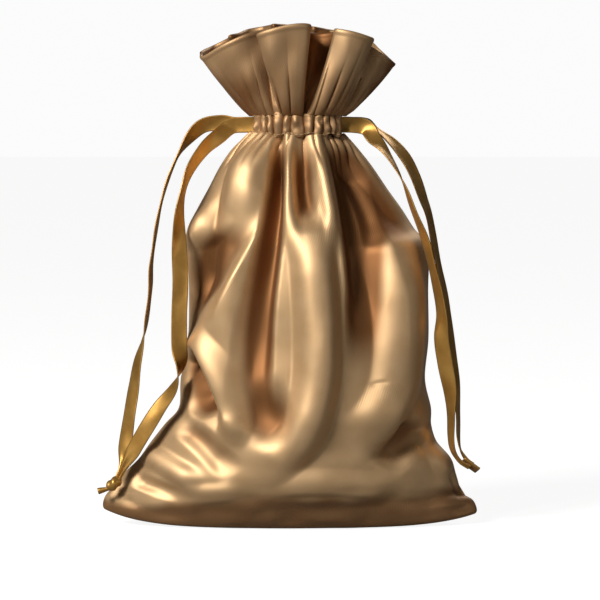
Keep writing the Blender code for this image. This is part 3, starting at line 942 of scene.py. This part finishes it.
        # painted shade in the puckers' hollows just above the channel
        deep = np.maximum(deep, 0.8 * (1 - smoothstep((v - 0.02) / 0.3)) * smoothstep(0.5 - ripple / 2.4))
        deep = np.clip(deep, 0, 1)
        below = (1 - v) * RUFFLE_HEIGHT
        thick = self.layer + (self.roll - self.layer) * smoothstep(1 - np.abs(below - 1.2) / 1.6)
        rounded = np.sqrt(np.clip(1 - (1 - np.minimum(below / 0.7, 1)) ** 2, 0.004, 1))
        half = np.broadcast_to(thick * rounded, ripple.shape)
        places = flat_places(self.rows, self.columns, RUFFLE_HEIGHT, PANEL_HEIGHT + CHANNEL_HEIGHT)
        return grid, places, half, deep

    def build(self, face: Face, finishes: Finishes) -> bpy.types.Object:
        """Makes one half of the ruffle.

        Args:
            face: The half.
            finishes: The sack's finishes.

        Returns:
            The half.
        """
        grid, cloth, half, deep = self.surface(face)
        obj = shell(f"{face.label}_ruffle_cloth", grid, half, cloth, depth=deep)
        finishes.dress(obj, Slot.SATIN)
        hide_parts(f"{face.label}_ruffle", f"{face.label}_ruffle_facing")
        f"{face.label}_ruffle"
        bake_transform(obj)
        log.info("%s ruffle: %d faces", face.label, len(obj.data.polygons))
        return obj


# ---------------------------------------------------------------- the ribbons


@dataclass
class Ribbon:
    """One free end of a drawstring: a flat satin ribbon on a smooth curve through its route.

    A row of the route is x, y, z in millimetres and the ribbon's turn in degrees about its own line.
    """

    side: Side
    face: Face
    route: tuple[tuple[float, ...], ...]
    width: float = RIBBON_WIDTH
    thickness: float = 0.3
    bunch: float = 0.0         # how much narrower the far end is gathered
    bunch_length: float = 14.0
    samples: int = 190
    columns: int = 13
    path: list[tuple[float, ...]] = field(default_factory=list)  # set by build, in metres, as is length
    length: float = 0.0

    @property
    def name(self) -> str:
        """The side and half, as in node names."""
        return f"{self.side.label}_{self.face.label}"

    def centre_line(self) -> np.ndarray:
        """The route's smooth curve, from inside the neck to the far end.

        Returns:
            Rows of x, y, z and turn.
        """
        out, y = self.side.value, self.face.value * RIBBON_SPACING
        neck = NECK_CENTRE + out * NECK_HALF_WIDTH
        hidden = [(neck + out * reach, y, RIBBON_LEVEL, 0.0) for reach in (-13.0, -5.0, 2.5)]
        return smooth_through(np.array([*hidden, *self.route]), np.linspace(0, 1, self.samples))

    def build(self, finishes: Finishes) -> bpy.types.Object:
        """Makes the ribbon: its section is carried along the route, cupped by 0.28 (s^2 - 0.4) across it.

        Near a knot the section narrows by the bunch, and is pleated by 0.9 cos(1.5 pi s) of it.

        Args:
            finishes: The sack's finishes.

        Returns:
            The ribbon.
        """
        line = self.centre_line()
        centre = line[:, :3]
        run = np.concatenate([[0], np.cumsum(np.linalg.norm(np.diff(centre, axis=0), axis=1))])
        along = np.gradient(centre, axis=0)
        along /= np.linalg.norm(along, axis=1, keepdims=True)
        wide = across(along, line[:, 3:])
        up = np.cross(along, wide)
        s = np.linspace(-1, 1, self.columns)
        cup = 0.28 * (s**2 - 0.4)
        flutter = 0.16 * np.sin(run / 3.1 + self.face.value)[:, None] * np.sin(2.2 * s + 0.6)[None, :]
        bunch = smoothstep((run - run[-1] + self.bunch_length) / (0.8 * self.bunch_length))
        bunch = self.bunch * bunch[:, None]
        pleat = 0.9 * bunch * np.cos(1.5 * math.pi * s)[None, :]
        grid = (centre[:, None, :] + wide[:, None, :] * ((1 - bunch) * s * self.width / 2)[..., None]
                + up[:, None, :] * (cup[None, :] + flutter + pleat)[..., None])
        selvedge = self.thickness / 2 * (1 + 0.7 * smoothstep((np.abs(s) - 0.82) / 0.1))
        half = np.broadcast_to(selvedge, grid.shape[:2])
        u, v = np.meshgrid(s * self.width / 2, run)
        obj = shell(f"{self.name}_ribbon", grid, half, np.stack([u, v], -1))
        finishes.dress(obj, Slot.RIBBON)
        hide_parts(f"{self.name}_mouth", f"{self.name}_tail")
        f"{self.side.label}_mouth"
        f"{self.side.label}_tails"
        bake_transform(obj)
        self.path = [tuple(p * MM) for p in centre[::3]]
        self.length = float(run[-1]) * MM
        log.info("%s ribbon: %.0f mm long", self.name, run[-1])
        return obj


# Where each ribbon runs after it leaves the neck: x, y, z and its turn, in rows as Ribbon says.
ROUTES = {
    (Side.LEFT, Face.BACK): (
        (-22.7, 1.4, 163.0, 0), (-28.5, 2.4, 163.8, 8), (-36.5, 3.0, 162.0, 28),
        (-44.0, 3.0, 153.5, 76), (-48.0, 2.0, 145.5, 85), (-52.0, 1.0, 133.5, 85),
        (-54.5, 0.0, 121.0, 84), (-56.5, -1.0, 107.0, 82), (-57.0, -2.0, 96.0, 80),
        (-59.0, -3.0, 80.0, 86), (-62.0, -4.0, 67.0, 120), (-63.5, -5.0, 57.0, 130),
        (-65.0, -6.0, 47.0, 138), (-66.8, -7.0, 34.5, 144), (-67.9, -8.4, 25.5, 150),
        (-70.2, -9.2, 19.4, 150),
    ),
    (Side.LEFT, Face.FRONT): (
        (-23.8, -1.6, 162.4, 0), (-28.5, -4.5, 158.6, 12), (-34.5, -8.0, 153.5, 36),
        (-40.0, -11.5, 145.5, 60), (-43.0, -13.5, 137.0, 72), (-44.5, -15.0, 127.0, 60),
        (-44.5, -16.0, 115.0, 26), (-44.0, -16.5, 100.0, 6), (-44.5, -16.5, 86.0, 0),
        (-44.5, -16.5, 74.0, 8), (-44.0, -16.5, 66.0, 60), (-47.0, -16.0, 57.0, 118),
        (-53.0, -15.0, 48.5, 150), (-59.5, -13.4, 38.0, 160), (-66.6, -10.9, 25.5, 150),
        (-69.8, -10.0, 19.4, 150),
    ),
    (Side.RIGHT, Face.BACK): (
        (30.0, 1.4, 162.8, 0), (34.8, 1.6, 161.0, 70), (41.5, 0.6, 156.0, 58),
        (47.0, -0.6, 149.5, 50), (51.0, -2.2, 141.5, 50), (54.0, -3.8, 133.0, 60),
        (56.5, -5.4, 125.0, 64), (59.5, -7.4, 109.0, 69), (63.0, -8.4, 92.0, 68),
        (65.0, -8.6, 76.0, 62), (67.0, -8.8, 60.0, 60), (68.0, -9.4, 45.0, 74),
        (68.2, -10.6, 36.0, 80), (69.2, -10.9, 31.4, 88), (71.6, -10.9, 27.6, 104), (74.0, -10.9, 25.6, 114),
    ),
    (Side.RIGHT, Face.FRONT): (
        (31.0, -1.8, 161.8, 0), (34.0, -5.0, 157.5, 30), (38.5, -8.6, 152.0, 62),
        (44.5, -12.0, 142.0, 88), (49.5, -14.6, 129.0, 106), (54.5, -16.2, 116.0, 114),
        (58.5, -16.6, 100.0, 116), (61.0, -16.4, 87.0, 128), (61.0, -16.0, 77.0, 150),
        (62.5, -15.6, 67.0, 160), (64.5, -14.6, 56.0, 140), (65.0, -13.0, 46.0, 116),
        (65.0, -11.8, 37.0, 108), (66.0, -11.3, 31.2, 110), (68.8, -11.1, 26.9, 112),
        (72.8, -11.1, 24.4, 114),
    ),
}


@dataclass
class RibbonEnds:
    """What finishes the ribbons: a knot with its rolled end on the left, a flat joined end on the right."""

    knot_centre: tuple[float, float, float] = (-71.4, -9.4, 17.6)
    knot_heading: float = 219.5
    knot_size: tuple[float, float, float] = (3.6, 2.6, 2.4)
    roll_length: float = 4.4
    roll_radius: float = 1.35
    join_start: tuple[float, float, float] = (70.1, -11.0, 27.4)
    join_heading: float = 324.5
    join_turn: float = 114.0
    join_length: float = 7.4
    width: float = RIBBON_WIDTH

    def knot(self, finishes: Finishes) -> bpy.types.Object:
        """The knot: a ball drawn out along its ribbons, with slanting wraps pressed into it.

        A point is the size times (cos t, sin t cos a, sin t sin a) times 1 + 0.13 cos(2a + 5 cos t).

        Args:
            finishes: The sack's finishes.

        Returns:
            The knot.
        """
        t = np.linspace(0.06, math.pi - 0.06, 40)[:, None]
        a = np.linspace(0, 2 * math.pi, 49)[None, :]
        wrap = 1 + 0.13 * np.cos(2 * a + 5 * np.cos(t)) * np.sin(t)
        ahead, over = heading_axes(self.knot_heading)
        size = self.knot_size
        grid = (np.array(self.knot_centre) + (size[0] * np.cos(t) + 0 * a)[..., None] * ahead
                + (size[1] * wrap * np.sin(t) * np.cos(a))[..., None] * Y_AXIS
                + (size[2] * wrap * np.sin(t) * np.sin(a))[..., None] * over)
        obj = closed_tube("left_knot_wraps", grid[:, :-1])
        finishes.dress(obj, Slot.RIBBON)
        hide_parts("left_knot")
        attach(obj, "left_tails")
        log.info("%s: %d faces", obj.name, len(obj.data.polygons))
        return obj

    def rolled_end(self, finishes: Finishes) -> bpy.types.Object:
        """The short end beyond the knot: ribbon rolled into an open tube, one and a quarter turns round.

        Its radius is r (0.62 + 0.38 smoothstep s) (1 - 0.3 a / 2.5 pi) at angle a and share s of its length.

        Args:
            finishes: The sack's finishes.

        Returns:
            The rolled end.
        """
        ahead, over = heading_axes(self.knot_heading - 26)
        start = np.array(self.knot_centre) + np.array([-2.2, 0.0, -2.0])
        a = np.linspace(0, 2.5 * math.pi, 44)[None, :]
        s = np.linspace(0, 1, 14)[:, None]
        radius = self.roll_radius * (0.62 + 0.38 * smoothstep(s)) * (1 - 0.3 * a / (2.5 * math.pi))
        grid = (start + (s * self.roll_length + 0 * a)[..., None] * ahead
                + (radius * np.cos(a))[..., None] * Y_AXIS + (radius * np.sin(a))[..., None] * over)
        cloth = np.stack(np.broadcast_arrays(a * self.roll_radius, s * self.roll_length), -1)
        obj = shell("left_rolled_end", grid, np.full(grid.shape[:2], 0.13), cloth)
        finishes.dress(obj, Slot.RIBBON)
        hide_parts("left_end")
        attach(obj, "left_tails")
        log.info("%s: %d faces", obj.name, len(obj.data.polygons))
        return obj

    def joined_end(self, finishes: Finishes) -> bpy.types.Object:
        """The right ribbon's flat end, where both tails lie face to face and stop in one square cut.

        Args:
            finishes: The sack's finishes.

        Returns:
            The joined end.
        """
        along, _ = heading_axes(self.join_heading)
        wide = across(along[None, :], np.array([[self.join_turn]]))[0]
        s = np.linspace(-1, 1, 13)[None, :]
        v = np.linspace(0, 1, 20)[:, None]
        grid = (np.array(self.join_start) + (v * self.join_length + 0 * s)[..., None] * along
                + (s * self.width / 2 + 0 * v)[..., None] * wide)
        half = 0.5 * (1 - 0.25 * smoothstep((np.abs(s) - 0.8) / 0.2)) + 0.0 * v
        cloth = np.stack(np.broadcast_arrays(s * self.width / 2, v * self.join_length), -1)
        obj = shell("right_joined_ribbon_end", grid, half, cloth)
        finishes.dress(obj, Slot.RIBBON)
        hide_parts("right_joined_end")
        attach(obj, "right_tails")
        log.info("%s: %d faces", obj.name, len(obj.data.polygons))
        return obj


# ---------------------------------------------------------------- studio


@dataclass
class Studio:
    """A pale floor, soft lamps and a long lens, nearly level with the sack."""

    target: tuple[float, float, float] = (4.1, 0.0, 91.7)
    distance: float = 1300.0
    elevation: float = 3.0
    view_width: float = 244.5
    sensor: float = 36.0

    def camera(self) -> None:
        """Sets the camera: its focal length is sensor * distance / the width of the view."""
        data = bpy.data.cameras.new("camera")
        data.sensor_width = self.sensor
        data.lens = self.sensor * self.distance / self.view_width
        data.clip_end = 50
        camera = add_object("camera", data)
        tilt = math.radians(self.elevation)
        x, y, z = self.target
        back, up = self.distance * math.cos(tilt), self.distance * math.sin(tilt)
        camera.location = (x * MM, (y - back) * MM, (z + up) * MM)
        camera.rotation_euler = (math.pi / 2 - tilt, 0, 0)
        bpy.context.scene.camera = camera

    def lamp(self, name: str, place: tuple[float, float, float], size: tuple[float, float], power: float,
             colour: tuple[float, float, float] = (1.0, 0.97, 0.93)) -> None:
        """A soft box aimed at the middle of the sack.

        Args:
            name: The lamp's name.
            place: Where it stands, in metres.
            size: Its width and height, in metres.
            power: Watts.
            colour: Its colour.
        """
        data = bpy.data.lights.new(name, "AREA")
        data.shape = "RECTANGLE"
        data.size, data.size_y = size
        data.energy = power
        data.color = colour
        lamp = add_object(name, data)
        lamp.location = place
        aim = np.array([0.0, 0.0, 0.1]) - np.array(place)
        flat = math.hypot(aim[0], aim[1])
        lamp.rotation_euler = (math.pi / 2 + math.atan2(aim[2], flat), 0, math.atan2(-aim[0], aim[1]))

    def sun(self, name: str, come_from: tuple[float, float, float], strength: float) -> None:
        """An even, soft-edged light from one direction.

        Args:
            name: The light's name.
            come_from: The direction that it comes from.
            strength: Watts to the square metre.
        """
        data = bpy.data.lights.new(name, "SUN")
        data.energy = strength
        data.angle = math.radians(25)
        light = add_object(name, data)
        x, y, z = come_from
        light.rotation_euler = (math.atan2(math.hypot(x, y), z), 0, math.atan2(x, -y))

    def surroundings(self) -> None:
        """A white room for the camera, which lights and mirrors dimly, so that the folds keep their depth."""
        world = bpy.data.worlds.new("studio")
        bpy.context.scene.world = world
        world.use_nodes = True
        nodes, links = world.node_tree.nodes, world.node_tree.links
        dim = nodes["Background"]
        dim.inputs["Color"].default_value = (1.0, 0.93, 0.85, 1)
        dim.inputs["Strength"].default_value = 0.05
        white = nodes.new("ShaderNodeBackground")
        white.inputs["Color"].default_value = (0.97, 0.97, 0.97, 1)
        rays = nodes.new("ShaderNodeLightPath")
        mix = nodes.new("ShaderNodeMixShader")
        links.new(rays.outputs["Is Camera Ray"], mix.inputs["Fac"])
        links.new(dim.outputs["Background"], mix.inputs[1])
        links.new(white.outputs["Background"], mix.inputs[2])
        links.new(mix.outputs["Shader"], nodes["World Output"].inputs["Surface"])

    def floor(self) -> None:
        """A pale paper floor, which shows bright to the camera but throws little light up at the sack."""
        bpy.ops.mesh.primitive_plane_add(size=40)
        floor = bpy.context.object
        floor.name = "studio_floor"
        paper = bpy.data.materials.new("studio_paper")
        paper.use_nodes = True
        tree = paper.node_tree
        shader = tree.nodes["Principled BSDF"]
        shader.inputs["Base Color"].default_value = (0.22, 0.22, 0.22, 1)
        shader.inputs["Roughness"].default_value = 1.0
        shader.inputs["Specular IOR Level"].default_value = 0.0
        shader.inputs["Emission Color"].default_value = (1, 1, 1, 1)
        rays = tree.nodes.new("ShaderNodeLightPath")
        glow = add_node(tree, "ShaderNodeMath", {1: 0.9})
        glow.operation = "MULTIPLY"
        tree.links.new(rays.outputs["Is Camera Ray"], glow.inputs[0])
        tree.links.new(glow.outputs["Value"], shader.inputs["Emission Strength"])
        floor.data.materials.append(paper)

    def build(self) -> None:
        """Makes the floor, the surroundings, the lamps and the camera."""
        bpy.context.scene.view_settings.view_transform = "Standard"
        self.floor()
        self.surroundings()
        self.lamp("key", (-0.9, -1.05, 0.9), (0.5, 0.5), 36)
        self.lamp("right_box", (1.0, -0.9, 0.12), (0.3, 0.3), 1.2)
        self.sun("back_light", (0.5, 1.0, 0.8), 0.7)
        self.camera()
        log.info("studio: floor, surroundings, three lights and a camera")


def add_ribbons(finishes: Finishes) -> None:
    """Makes the four ribbons and their ends.

    Args:
        finishes: The sack's finishes.
    """
    ends = RibbonEnds()
    knot, rolled, joined = ends.knot(finishes), ends.rolled_end(finishes), ends.joined_end(finishes)
    for (side, face), route in ROUTES.items():
        ribbon = Ribbon(side, face, route, bunch=0.66 if side is Side.LEFT else 0.4)
        obj = ribbon.build(finishes)


def add_cloth(finishes: Finishes) -> None:
    """Makes the panels, the channel and the ruffle.

    Args:
        finishes: The sack's finishes.
    """
    gathers = Gathers()
    body, channel, ruffle = Body(gathers), Channel(gathers), Ruffle(gathers)
    for face in Face:
        panel = body.build(face, finishes)
        walls = channel.build(face, finishes)
        frill = ruffle.build(face, finishes)
        f"{face.label}_channel_cloth"


def dress_hidden(finishes: Finishes) -> None:
    """Dresses the CAD nodes that stay: ribbon inside the channel, seam allowances and their stitching.

    Args:
        finishes: The sack's finishes.
    """
    slots = {"_loop": Slot.RIBBON, "_thread": Slot.STITCHING, "_seam": Slot.INSIDE}
    for name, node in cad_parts.items():
        for ending, slot in slots.items():
            if name.endswith(ending):
                finishes.dress(node, slot)
                log.info("%s: dressed as %s", name, slot.value)


def main() -> None:
    """Builds the studio, the ribbons and the cloth, and dresses the hidden pieces."""
    logging.basicConfig(level=logging.INFO, format="%(name)s: %(message)s")
    Studio().build()
    finishes = Finishes()
    add_ribbons(finishes)
    add_cloth(finishes)
    dress_hidden(finishes)


if __name__ == "__main__":
    main()
